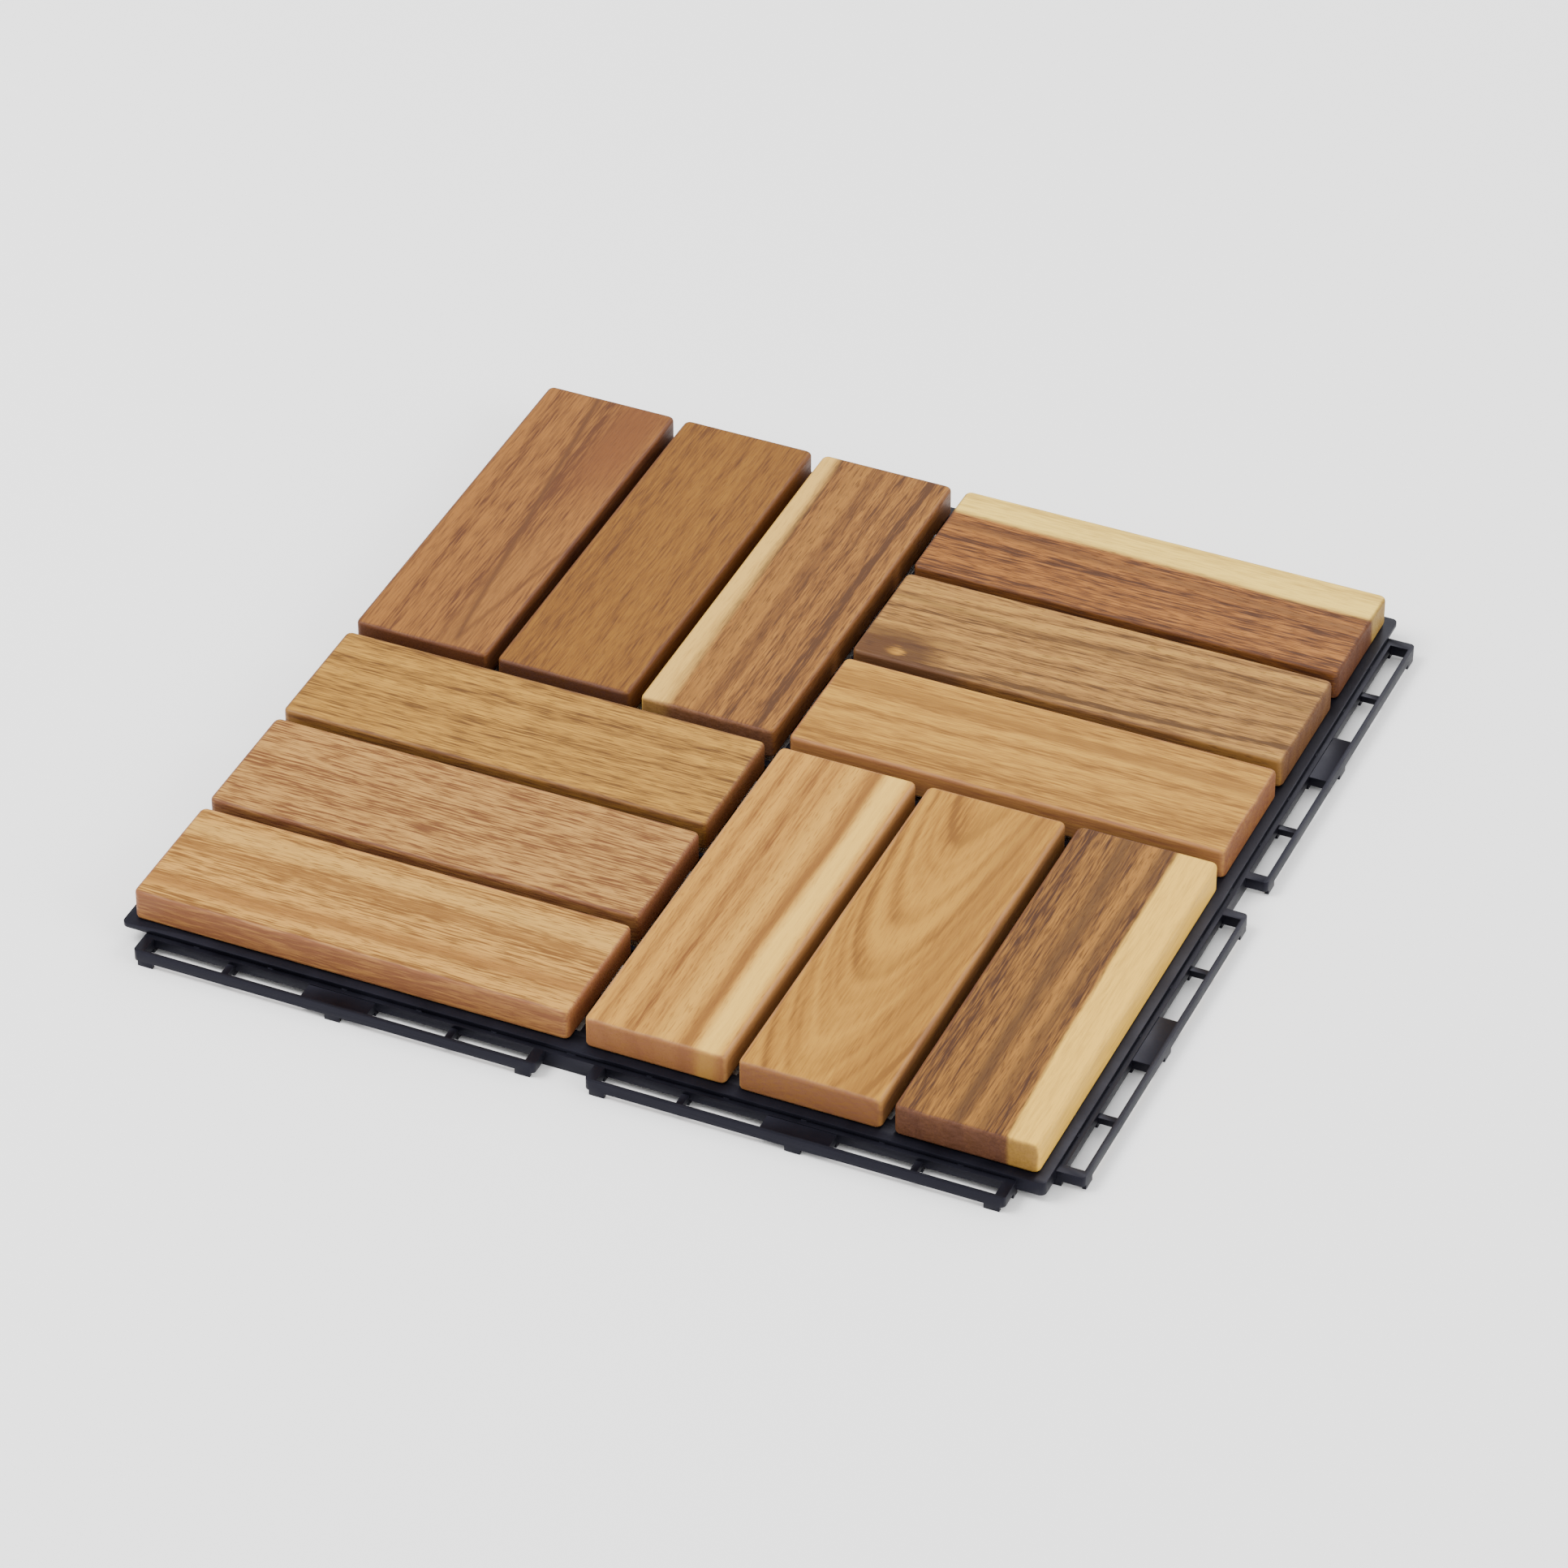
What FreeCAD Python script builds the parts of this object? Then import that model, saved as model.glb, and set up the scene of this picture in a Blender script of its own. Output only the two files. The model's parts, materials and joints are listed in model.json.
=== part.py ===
import FreeCAD, Part
import os
import Sketcher

# Interlocking deck tile: twelve wooden slats in a basket weave on one moulded plastic base.
# The base has loops with slots on its front and right sides, and a thin lip with snap pegs on its
# back and left sides, so that a row of tiles hooks together. Screws go up through the base into the
# slats. The origin is on the ground under the middle of the wood, +X right, +Y back, +Z up.

# Driving sizes in millimetres
SIZES = {
    # wooden slats
    "slat_width": 45.9,
    "slat_thickness": 10.6,
    "slat_gap": 3.9,            # between the slats of one group
    "group_gap": 5.0,           # between the four groups
    "slat_corner_radius": 2.2,  # seen from above
    "slat_edge_bevel": 1.3,     # along the upper and lower edges
    "pilot_spare": 1.0,         # empty end of the pilot hole past the screw's tip
    # sheet and ribs of the base
    "base_height": 7.0,
    "sheet_thickness": 1.4,
    "loop_side_lip": 3.3,       # how far the sheet stands out past the wood, loop sides
    "peg_side_lip": 2.8,        # the same on the peg sides
    "sheet_corner_radius": 2.0,
    "rib_thickness": 1.8,
    "rib_lift": 1.0,            # ribs end this far above the ground
    "stud_diameter": 7.0,       # round foot under the middle of the tile and of each group
    "corner_block_lift": 2.4,
    # loops of the front and right sides
    "wall_reach": 5.0,          # outer face of the side wall, past the wood
    "wall_thickness": 3.0,
    "loop_step": 0.2,           # loops lie this far under the sheet, so that a lip can lie on them
    "slot_length": 25.2,
    "slot_width": 5.9,
    "latch_height": 2.2,        # the side wall is open this high behind each slot, for the hooks
    "web_thickness": 2.2,       # between the two slots of a pair
    "web_drop": 1.4,            # webs lie this far under the rail's top
    "plate_length": 22.2,       # closed plate between the two pairs
    "plate_drop": 0.4,
    "end_wall": 3.4,
    "rail_thickness": 1.3,
    "rail_corner_radius": 1.5,
    "rail_foot_height": 1.8,
    "rail_foot_length": 5.0,
    # pegs of the back and left sides
    "peg_thickness": 3.0,
    "peg_end_clearance": 0.5,   # between a peg and the end of its slot
    "peg_slit": 0.8,            # between the hook and the plain teeth beside it
    "hook_length": 8.6,
    "hook_drop": 5.0,
    "hook_bulge": 1.3,
    "hook_nose": 0.8,           # height of the slope under the bulge, and over it
    "tooth_drop": 3.2,
    "joint_gap": 1.0,           # between the pegs' flat faces and the next tile's side wall
    "rail_clearance": 0.6,      # between a rail and the ribs of the tile that lies over it
    # screws and their bosses
    "boss_diameter": 10.4,
    "screw_recess": 1.0,        # head's face above the ground
    "screw_head_diameter": 7.0,
    "screw_shank_diameter": 3.5,
    "screw_length": 13.0,
    "screw_tip_length": 2.4,
    "shank_clearance": 0.25,    # round the shank in its boss
}
SLATS_PER_GROUP = 3
TOUCH = 1e-4  # two faces closer than this count as the same one

# Sizes that follow from the driving ones, as formulas
SLAT_PITCH = "(Sizes.slat_width + Sizes.slat_gap)"
SLAT_LENGTH = f"({SLATS_PER_GROUP} * Sizes.slat_width + {SLATS_PER_GROUP - 1} * Sizes.slat_gap)"
HALF_WOOD = f"(Sizes.group_gap / 2 + {SLAT_LENGTH})"
MIDDLE = f"(Sizes.group_gap / 2 + {SLAT_LENGTH} / 2)"
FIRST_LINE = "(Sizes.group_gap / 2 + Sizes.slat_width / 2)"
SHEET_UNDERSIDE = "(Sizes.base_height - Sizes.sheet_thickness)"
LOOP_TOP = f"({SHEET_UNDERSIDE} - Sizes.loop_step)"
SLOT_FACE = f"({HALF_WOOD} + Sizes.wall_reach)"
RAIL_FACE = f"({SLOT_FACE} + Sizes.slot_width + Sizes.rail_thickness)"
TAB_LENGTH = ("(4 * Sizes.slot_length + 2 * Sizes.web_thickness + Sizes.plate_length"
              " + 2 * Sizes.end_wall)")
SLOT_STEP = "(Sizes.slot_length + Sizes.web_thickness)"
NEAR_SLOT = "(Sizes.plate_length / 2 + Sizes.slot_length / 2)"
FAR_SLOT = f"({NEAR_SLOT} + {SLOT_STEP})"
WOOD_TO_WOOD = "(Sizes.wall_reach + Sizes.joint_gap + Sizes.peg_side_lip)"
PEG_SIDE_WALL = f"({RAIL_FACE} - {WOOD_TO_WOOD} + Sizes.rail_clearance)"
PEG_WALL_FACE = f"(2 * {HALF_WOOD} - {PEG_SIDE_WALL})"
HEAD_HEIGHT = "((Sizes.screw_head_diameter - Sizes.screw_shank_diameter) / 2)"
SCREW_BITE = "(Sizes.screw_recess + Sizes.screw_length - Sizes.base_height)"
HALF_PITCH = f"({SLAT_PITCH} / 2)"

doc = FreeCAD.newDocument("deck_tile")
sheet = doc.addObject("Spreadsheet::Sheet", "Sizes")


def fill_sheet():
    """Write every driving size to its own row, with its name beside it as the alias."""
    for row, (name, size) in enumerate(SIZES.items(), start=1):
        sheet.set(f"A{row}", name)
        sheet.set(f"B{row}", str(size))
        sheet.setAlias(f"B{row}", name)
    doc.recompute()


def number(formula):
    """The value of a formula of sizes, in millimetres."""
    return float(sheet.evalExpression(formula.replace("Sizes.", "")))


def new_body(name):
    """A body whose label names its file."""
    body = doc.addObject("PartDesign::Body", name)
    body.Label = name
    return body


def origin_feature(body, role):
    """One of the body's own origin planes or axes."""
    return [feature for feature in body.Origin.OriginFeatures if feature.Role == role][0]


def new_sketch(body, name, plane="XY_Plane", lift="0"):
    """A sketch on one of the body's planes, lifted along its normal."""
    sketch = body.newObject("Sketcher::SketchObject", name)
    sketch.AttachmentSupport = [(origin_feature(body, plane), "")]
    sketch.MapMode = "FlatFace"
    sketch.setExpression("AttachmentOffset.Base.z", lift)
    return sketch


def bind(sketch, constraint, formula):
    """Add a dimension to the sketch and tie it to a formula."""
    index = sketch.addConstraint(constraint)
    sketch.setExpression(f"Constraints[{index}]", formula)


def place_point(sketch, line, end, across, up):
    """Tie a point of the sketch to its place from the sketch's origin."""
    for kind, formula in (("DistanceX", across), ("DistanceY", up)):
        bind(sketch, Sketcher.Constraint(kind, -1, 1, line, end, number(formula)), formula)


def closed_outline(sketch, corners):
    """A closed outline of straight lines through corners given as pairs of formulas."""
    points = [FreeCAD.Vector(number(across), number(up), 0) for across, up in corners]
    first = sketch.GeometryCount
    for index, point in enumerate(points):
        sketch.addGeometry(Part.LineSegment(point, points[(index + 1) % len(points)]), False)
    for index in range(len(points)):
        following = first + (index + 1) % len(points)
        sketch.addConstraint(Sketcher.Constraint("Coincident", first + index, 2, following, 1))
    for index, (across, up) in enumerate(corners):
        place_point(sketch, first + index, 1, across, up)


def rectangle(sketch, left, front, right, back):
    """A rectangle between four formulas."""
    low = FreeCAD.Vector(number(left), number(front), 0)
    high = FreeCAD.Vector(number(right), number(back), 0)
    first = sketch.GeometryCount
    corners = [low, FreeCAD.Vector(high.x, low.y, 0), high, FreeCAD.Vector(low.x, high.y, 0)]
    for index, corner in enumerate(corners):
        sketch.addGeometry(Part.LineSegment(corner, corners[(index + 1) % 4]), False)
        direction = "Vertical" if index % 2 else "Horizontal"
        sketch.addConstraint(Sketcher.Constraint(direction, first + index))
    for index in range(4):
        sketch.addConstraint(Sketcher.Constraint("Coincident", first + index, 2, first + (index + 1) % 4, 1))
    place_point(sketch, first, 1, left, front)
    place_point(sketch, first + 2, 1, right, back)


def circle(sketch, across, up, diameter):
    """A circle with its middle and diameter tied to formulas."""
    middle = FreeCAD.Vector(number(across), number(up), 0)
    index = sketch.addGeometry(Part.Circle(middle, FreeCAD.Vector(0, 0, 1), number(diameter) / 2), False)
    place_point(sketch, index, 3, across, up)
    bind(sketch, Sketcher.Constraint("Diameter", index, number(diameter)), diameter)


def pad(body, sketch, length, name, reverse=False, both_ways=False):
    """Raise a sketch by a length."""
    feature = body.newObject("PartDesign::Pad", name)
    feature.Profile = sketch
    feature.setExpression("Length", length)
    feature.Reversed = reverse
    feature.SideType = "Symmetric" if both_ways else "One side"
    return feature


def pocket(body, sketch, name, depth=None, reverse=False):
    """Cut a sketch into the body, to a depth or right through."""
    feature = body.newObject("PartDesign::Pocket", name)
    feature.Profile = sketch
    feature.Reversed = reverse
    if depth is None:
        feature.Type = "ThroughAll"
    else:
        feature.setExpression("Length", depth)
    return feature


def edges_of(base, wanted):
    """The names of the edges of a feature for which the test holds."""
    doc.recompute()
    return [f"Edge{index}" for index, edge in enumerate(base.Shape.Edges, start=1) if wanted(edge)]


def fillet(body, base, name, radius, wanted):
    """Round the edges of a feature for which the test holds."""
    edges = edges_of(base, wanted)
    feature = body.newObject("PartDesign::Fillet", name)
    feature.Base = (base, edges)
    feature.setExpression("Radius", radius)
    return feature


def bevel(body, base, name, size, wanted):
    """Take the edges of a feature for which the test holds off at 45 degrees."""
    edges = edges_of(base, wanted)
    feature = body.newObject("PartDesign::Chamfer", name)
    feature.Base = (base, edges)
    feature.setExpression("Size", size)
    return feature


def row(body, name, axis, count, spacing):
    """A straight row of copies, for use in a repeat."""
    feature = body.newObject("PartDesign::LinearPattern", name)
    feature.Direction = (origin_feature(body, axis), [""])
    feature.Mode = "Spacing"
    feature.setExpression("Offset", spacing)
    feature.Occurrences = count
    return feature


def mirror(body, name, plane):
    """A mirror image in a plane, for use in a repeat."""
    feature = body.newObject("PartDesign::Mirrored", name)
    feature.MirrorPlane = (plane, [""])
    return feature


def repeat(body, name, originals, steps):
    """Repeat some features by one or more rows, turns or mirrors, one after the other."""
    feature = body.newObject("PartDesign::MultiTransform", name)
    feature.Originals = originals
    feature.Transformations = steps
    body.Tip = feature
    return feature


def revolve(body, profile, name):
    """Turn a profile of the body once round its own upright axis."""
    turned = body.newObject("PartDesign::Revolution", name)
    turned.Profile = profile
    turned.ReferenceAxis = (profile, ["V_Axis"])
    turned.Angle = 360
    return turned


def copy_at(item, across, along, turn, lift="0"):
    """A copy of a sub-part at a place given by formulas, turned by some degrees."""
    link = doc.addObject("App::Link", f"{item.Name}_copy")
    link.LinkedObject = item
    link.LinkTransform = True
    link.Placement.Rotation = FreeCAD.Rotation(FreeCAD.Vector(0, 0, 1), turn)
    link.setExpression("Placement.Base.x", across)
    link.setExpression("Placement.Base.y", along)
    link.setExpression("Placement.Base.z", lift)
    return link


def build_slat(name, middle_x, middle_y, turn):
    """One slat with rounded edges and a blind pilot hole for each of its two screws."""
    body = new_body(name)
    outline = new_sketch(body, f"{name}_outline")
    rectangle(outline, f"-{SLAT_LENGTH} / 2", "-Sizes.slat_width / 2",
              f"{SLAT_LENGTH} / 2", "Sizes.slat_width / 2")
    plank = pad(body, outline, "Sizes.slat_thickness", f"{name}_plank")
    corners = fillet(body, plank, f"{name}_corners", "Sizes.slat_corner_radius",
                     lambda edge: abs(edge.tangentAt(edge.FirstParameter).z) > 0.5)
    edges = bevel(body, corners, f"{name}_edges", "Sizes.slat_edge_bevel",
                  lambda edge: edge.BoundBox.ZLength < TOUCH)
    holes = new_sketch(body, f"{name}_hole_places")
    for side in ("-", ""):
        circle(holes, f"{side}{SLAT_PITCH}", "0", "Sizes.screw_shank_diameter")
    drilled = pocket(body, holes, f"{name}_pilot_holes", f"{SCREW_BITE} + Sizes.pilot_spare", reverse=True)
    body.Tip = drilled
    body.setExpression("Placement.Base.x", middle_x)
    body.setExpression("Placement.Base.y", middle_y)
    body.setExpression("Placement.Base.z", "Sizes.base_height")
    body.Placement.Rotation = FreeCAD.Rotation(FreeCAD.Vector(0, 0, 1), turn)
    doc.recompute()
    assert drilled.Shape.Volume < edges.Shape.Volume
    return body


def build_slats():
    """Four groups of three slats, each group turned a quarter from its neighbours."""
    slats = []
    groups = (("front_left", "-", "-", False), ("front_right", "", "-", True),
              ("back_right", "", "", False), ("back_left", "-", "", True))
    for group, side_x, side_y, along_y in groups:
        for index in range(SLATS_PER_GROUP):
            line = f"({FIRST_LINE} + {index} * {SLAT_PITCH})"
            across, along = (line, MIDDLE) if along_y else (MIDDLE, line)
            slats.append(build_slat(f"slat_{group}_{index + 1}", side_x + across, side_y + along,
                                    90 if along_y else 0))
    return slats


def build_lattice():
    """The top sheet, the outer wall under it, and the two crossing sets of ribs."""
    body = new_body("lattice")
    inner_wall = f"({PEG_WALL_FACE} - Sizes.rib_thickness)"
    sheet_outline = new_sketch(body, "sheet_outline", lift=SHEET_UNDERSIDE)
    rectangle(sheet_outline, f"-({HALF_WOOD} + Sizes.peg_side_lip)", f"-({HALF_WOOD} + Sizes.loop_side_lip)",
              f"{HALF_WOOD} + Sizes.loop_side_lip", f"{HALF_WOOD} + Sizes.peg_side_lip")
    rectangle(sheet_outline, f"-{inner_wall}", f"-{inner_wall}", inner_wall, inner_wall)
    top_sheet = pad(body, sheet_outline, "Sizes.sheet_thickness", "top_sheet")
    corner_reach = number(f"{HALF_WOOD}")
    fillet(body, top_sheet, "sheet_corners", "Sizes.sheet_corner_radius", lambda edge: (
        edge.BoundBox.XLength + edge.BoundBox.YLength < TOUCH and abs(edge.BoundBox.XMax) > corner_reach))

    wall_outline = new_sketch(body, "outer_wall_outline", lift="Sizes.rib_lift")
    rectangle(wall_outline, f"-{PEG_WALL_FACE}", f"-{PEG_WALL_FACE}", PEG_WALL_FACE, PEG_WALL_FACE)
    rectangle(wall_outline, f"-{inner_wall}", f"-{inner_wall}", inner_wall, inner_wall)
    pad(body, wall_outline, f"{SHEET_UNDERSIDE} - Sizes.rib_lift", "outer_wall")

    # a rib and the middle rib run from the outer wall of the left side to the side wall of the right
    rib_end = f"({SLOT_FACE} - Sizes.wall_thickness / 2)"
    rib_height = "Sizes.base_height - Sizes.rib_lift"
    middle_half = f"({FIRST_LINE} - {HALF_PITCH} + Sizes.rib_thickness / 2)"
    ribs = []
    for name, low, high in (("rib", f"{FIRST_LINE} - Sizes.rib_thickness / 2",
                             f"{FIRST_LINE} + Sizes.rib_thickness / 2"),
                            ("middle_rib", f"-{middle_half}", middle_half)):
        inside = new_sketch(body, f"{name}_outline", lift="Sizes.rib_lift")
        rectangle(inside, f"-{inner_wall} - Sizes.rib_thickness / 2", low, PEG_WALL_FACE, high)
        ribs.append(pad(body, inside, rib_height, name))
        outside = new_sketch(body, f"{name}_end_outline", lift="Sizes.rib_lift")
        rectangle(outside, inner_wall, low, rib_end, high)
        ribs.append(pad(body, outside, f"{SHEET_UNDERSIDE} - Sizes.rib_lift", f"{name}_end"))
    diagonal = diagonal_plane(body, "rib_diagonal")
    repeat(body, "ribs", ribs[:2], [row(body, "rib_row", "Y_Axis", 2 * SLATS_PER_GROUP - 1, HALF_PITCH),
                                    mirror(body, "rib_mirror", origin_feature(body, "XZ_Plane")),
                                    mirror(body, "rib_turn", diagonal)])
    repeat(body, "middle_ribs", ribs[2:], [mirror(body, "middle_rib_turn", diagonal)])
    return body


def diagonal_plane(body, name):
    """The upright plane that swaps the front side with the right one and the back with the left."""
    plane = body.newObject("PartDesign::Plane", name)
    plane.AttachmentSupport = [(origin_feature(body, "XZ_Plane"), "")]
    plane.MapMode = "FlatFace"
    plane.AttachmentOffset = FreeCAD.Placement(FreeCAD.Vector(0, 0, 0),
                                               FreeCAD.Rotation(FreeCAD.Vector(0, 1, 0), -45))
    return plane


def open_for_hooks(body, places):
    """Open the side wall behind each slot, from the ground up, where the next tile's hooks snap in."""
    outline = new_sketch(body, f"{body.Name}_latch_outline")
    for place in places:
        rectangle(outline, f"{place} - Sizes.slot_length / 2", f"-{SLOT_FACE}",
                  f"{place} + Sizes.slot_length / 2", f"-({SLOT_FACE} - Sizes.wall_thickness)")
    pocket(body, outline, f"{body.Name}_latches", "Sizes.latch_height", reverse=True)


def build_side_wall():
    """The wall along the front side, between and behind the loops."""
    body = new_body("side_wall")
    end = f"({MIDDLE} + {TAB_LENGTH} / 2)"
    outline = new_sketch(body, "side_wall_outline")
    rectangle(outline, f"-{end}", f"-{SLOT_FACE}", end, f"-({SLOT_FACE} - Sizes.wall_thickness)")
    pad(body, outline, LOOP_TOP, "side_wall_plate")
    open_for_hooks(body, slot_places())
    return body


def build_corner_block():
    """The block that joins the two side walls under the sheet's front right corner."""
    body = new_body("corner_block")
    start = f"({MIDDLE} + {TAB_LENGTH} / 2 - Sizes.wall_thickness)"
    edge = f"({HALF_WOOD} + Sizes.loop_side_lip)"
    outline = new_sketch(body, "corner_block_outline", lift="Sizes.corner_block_lift")
    rectangle(outline, start, f"-{edge}", edge, f"-{start}")
    block = pad(body, outline, f"{SHEET_UNDERSIDE} - Sizes.corner_block_lift", "corner_block_pad")
    outer = number(edge)
    fillet(body, block, "corner_block_corner", "Sizes.sheet_corner_radius", lambda side: (
        side.BoundBox.XLength + side.BoundBox.YLength < TOUCH
        and side.BoundBox.XMax > outer - TOUCH and side.BoundBox.YMin < -outer + TOUCH))
    return body


def build_loop():
    """One loop of the front side, centred left to right, with its four slots."""
    body = new_body("loop")
    rail_inner = f"({RAIL_FACE} - Sizes.rail_thickness)"
    half = f"({TAB_LENGTH} / 2)"
    outline = new_sketch(body, "loop_outline", lift="Sizes.rail_foot_height")
    rectangle(outline, f"-{half}", f"-{RAIL_FACE}", half, f"-({SLOT_FACE} - Sizes.wall_thickness / 2)")
    blank = pad(body, outline, f"{LOOP_TOP} - Sizes.rail_foot_height", "loop_blank")
    front = number(RAIL_FACE)
    fillet(body, blank, "rail_corners", "Sizes.rail_corner_radius", lambda edge: (
        edge.BoundBox.XLength + edge.BoundBox.YLength < TOUCH and edge.BoundBox.YMin < -front + TOUCH))

    foot_shift = f"({half} - Sizes.rail_corner_radius - Sizes.rail_foot_length / 2)"
    feet_outline = new_sketch(body, "feet_outline")
    for middle in (f"-{foot_shift}", "0", foot_shift):
        rectangle(feet_outline, f"{middle} - Sizes.rail_foot_length / 2", f"-{RAIL_FACE}",
                  f"{middle} + Sizes.rail_foot_length / 2", f"-{rail_inner}")
    pad(body, feet_outline, "Sizes.rail_foot_height", "rail_feet")

    slot_outline = new_sketch(body, "slot_outline", lift="Sizes.base_height")
    recess_outline = new_sketch(body, "web_recess_outline", lift=LOOP_TOP)
    for side in ("-", ""):
        for middle in (f"{side}{NEAR_SLOT}", f"{side}{FAR_SLOT}"):
            rectangle(slot_outline, f"{middle} - Sizes.slot_length / 2", f"-{rail_inner}",
                      f"{middle} + Sizes.slot_length / 2", f"-{SLOT_FACE}")
        web = f"{side}({NEAR_SLOT} + {SLOT_STEP} / 2)"
        rectangle(recess_outline, f"{web} - Sizes.web_thickness", f"-{rail_inner}",
                  f"{web} + Sizes.web_thickness", f"-{SLOT_FACE}")
    pocket(body, slot_outline, "slots")
    pocket(body, recess_outline, "web_recesses", "Sizes.web_drop")

    plate_outline = new_sketch(body, "plate_outline", lift=LOOP_TOP)
    rectangle(plate_outline, "-Sizes.plate_length / 2", f"-{rail_inner}", "Sizes.plate_length / 2", f"-{SLOT_FACE}")
    pocket(body, plate_outline, "plate_recess", "Sizes.plate_drop")
    open_for_hooks(body, [f"{side}{middle}" for side in ("-", "") for middle in (NEAR_SLOT, FAR_SLOT)])
    return body


def build_peg():
    """One peg of the back side, centred left to right: a hook between two plain teeth on a strip."""
    body = new_body("peg")
    outer = f"({HALF_WOOD} + Sizes.peg_side_lip)"
    inner = f"({outer} - Sizes.peg_thickness)"
    tooth_near = "(Sizes.hook_length / 2 + Sizes.peg_slit)"
    tooth_far = "(Sizes.slot_length / 2 - Sizes.peg_end_clearance)"
    strip_outline = new_sketch(body, "strip_outline", lift=SHEET_UNDERSIDE)
    rectangle(strip_outline, f"-{tooth_far}", inner, tooth_far, outer)
    pad(body, strip_outline, "Sizes.sheet_thickness", "strip")
    teeth_outline = new_sketch(body, "teeth_outline", lift=SHEET_UNDERSIDE)
    rectangle(teeth_outline, f"-{tooth_far}", inner, f"-{tooth_near}", outer)
    rectangle(teeth_outline, tooth_near, inner, tooth_far, outer)
    pad(body, teeth_outline, "Sizes.tooth_drop", "teeth", reverse=True)

    hook_bottom = f"({SHEET_UNDERSIDE} - Sizes.hook_drop)"
    hook_profile = new_sketch(body, "hook_profile", plane="YZ_Plane")
    closed_outline(hook_profile, [
        (inner, SHEET_UNDERSIDE),
        (inner, hook_bottom),
        (outer, hook_bottom),
        (f"{outer} + Sizes.hook_bulge", f"{hook_bottom} + Sizes.hook_nose"),
        (outer, f"{hook_bottom} + 2 * Sizes.hook_nose"),
        (outer, SHEET_UNDERSIDE),
    ])
    pad(body, hook_profile, "Sizes.hook_length", "hook", both_ways=True)
    return body


def build_cylinder(name, diameter):
    """A round post from the ground to the top of the base."""
    post = doc.addObject("Part::Cylinder", name)
    post.setExpression("Radius", f"{diameter} / 2")
    post.setExpression("Height", "Sizes.base_height")
    return post


def build_bore():
    """The countersunk bore of one boss. The screw's head seats in the cone, clear of the ground."""
    body = new_body("bore")
    head = "Sizes.screw_head_diameter / 2"
    hole = "(Sizes.screw_shank_diameter / 2 + Sizes.shank_clearance)"
    profile = new_sketch(body, "bore_profile", plane="XZ_Plane")
    closed_outline(profile, [
        ("0", "0"),
        (f"{head} + Sizes.screw_recess", "0"),
        (hole, f"Sizes.screw_recess + {HEAD_HEIGHT} - Sizes.shank_clearance"),
        (hole, "Sizes.base_height"),
        ("0", "Sizes.base_height"),
    ])
    revolve(body, profile, "bore_room")
    return body


def boss_places():
    """Where the screws stand, as pairs of formulas: six under each group, turned with the group."""
    places = []
    for column in (0, SLATS_PER_GROUP - 1):
        for line in range(SLATS_PER_GROUP):
            across = f"({FIRST_LINE} + {column} * {SLAT_PITCH})"
            along = f"({FIRST_LINE} + {line} * {SLAT_PITCH})"
            places += [(f"-{across}", f"-{along}"), (along, f"-{across}"),
                       (across, along), (f"-{along}", across)]
    return places


def slot_places():
    """How far along its side each slot of the loops stands, from the middle of the side."""
    steps = [f"{side} {reach}" for side in ("-", "+") for reach in (NEAR_SLOT, FAR_SLOT)]
    return [f"{half}({MIDDLE} {step})" for half in ("-", "") for step in steps]


def along_side(item, places, turn):
    """Copies of a sub-part of the front or back side along that side, or a quarter turn on."""
    if turn:
        return [copy_at(item, "0", place, 90) for place in places]
    return [copy_at(item, place, "0", 0) for place in places]


def build_base():
    """The one-piece moulded base: everything fused into the lattice, then bored for the screws."""
    wall, loop, peg = build_side_wall(), build_loop(), build_peg()
    boss = build_cylinder("boss", "Sizes.boss_diameter")
    stud = build_cylinder("stud", "Sizes.stud_diameter")
    pieces = [build_lattice(), build_corner_block()]
    for turn in (False, True):
        pieces += along_side(wall, ["0"], turn)
        pieces += along_side(loop, [f"-{MIDDLE}", MIDDLE], turn)
        pieces += along_side(peg, slot_places(), turn)
    pieces += [copy_at(boss, across, along, 0) for across, along in boss_places()]
    stud_places = [("0", "0")] + [(f"{x}{MIDDLE}", f"{y}{MIDDLE}") for x in ("-", "") for y in ("-", "")]
    pieces += [copy_at(stud, across, along, 0) for across, along in stud_places]
    blank = doc.addObject("Part::MultiFuse", "base_blank")
    blank.Shapes = pieces
    bore = build_bore()
    bores = doc.addObject("Part::Compound", "screw_bores")
    bores.Links = [copy_at(bore, across, along, 0) for across, along in boss_places()]
    base = doc.addObject("Part::Cut", "moulded_base")
    base.Label = "moulded_base"
    base.Base = blank
    base.Tool = bores
    base.Refine = True
    doc.recompute()
    assert 0 < base.Shape.Volume < blank.Shape.Volume
    return base


def build_screw():
    """One countersunk wood screw, head down, without its thread and cross recess."""
    body = new_body("screw")
    head = "Sizes.screw_head_diameter / 2"
    shank = "Sizes.screw_shank_diameter / 2"
    profile = new_sketch(body, "screw_profile", plane="XZ_Plane")
    closed_outline(profile, [
        ("0", "0"),
        (head, "0"),
        (shank, HEAD_HEIGHT),
        (shank, "Sizes.screw_length - Sizes.screw_tip_length"),
        ("0", "Sizes.screw_length"),
    ])
    revolve(body, profile, "turned_screw")
    return body


def build_screws(screw):
    """All the screws as separate solids, the same screw in each boss."""
    screws = doc.addObject("Part::Compound", "slat_screws")
    screws.Label = "slat_screws"
    screws.Links = [copy_at(screw, across, along, 0, "Sizes.screw_recess") for across, along in boss_places()]
    return screws


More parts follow.
